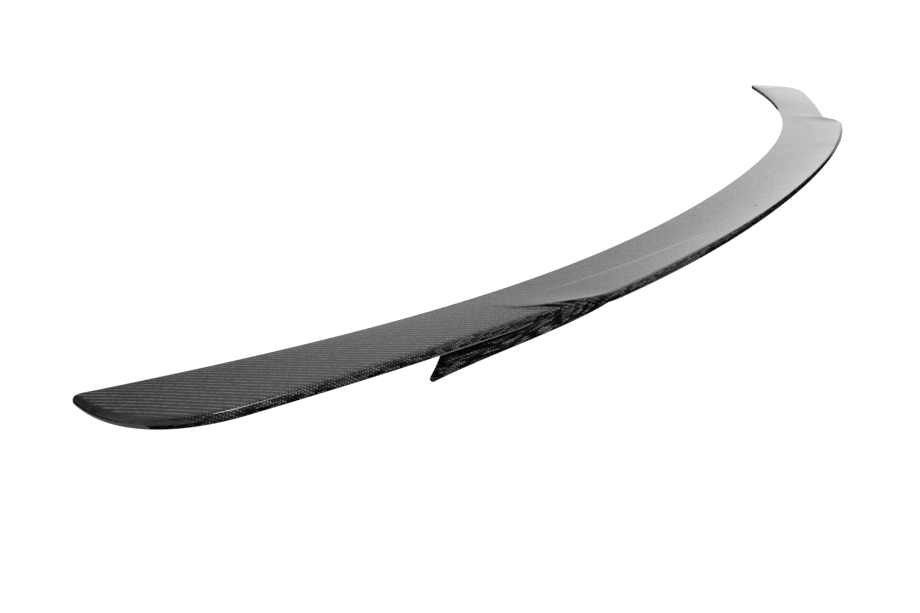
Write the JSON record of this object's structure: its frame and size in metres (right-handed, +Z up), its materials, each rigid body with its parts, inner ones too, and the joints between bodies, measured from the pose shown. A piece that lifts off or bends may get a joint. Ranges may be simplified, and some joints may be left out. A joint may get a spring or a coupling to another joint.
{
  "type": "car rear spoiler",
  "caption": "Slim bowed car boot-lid spoiler with a kicked-up centre, thin swept wings, rolled rear edge and tucked side flanges, moulded as an open skin that bonds to the lid.",
  "frame": {"origin": "middle of the bonding land behind the leading edge, on the centre line", "axes": "+X to the car's right, +Y to the car's front, +Z up; the bonding plane is Z = 0"},
  "size_m": [1.483, 0.262, 0.0334],
  "materials": {
    "carbon_laminate": "woven two-by-two twill carbon cloth under a high-gloss clear coat"
  },
  "bodies": {
    "root": {"spoiler": "carbon_laminate"}
  },
  "joints": []
}
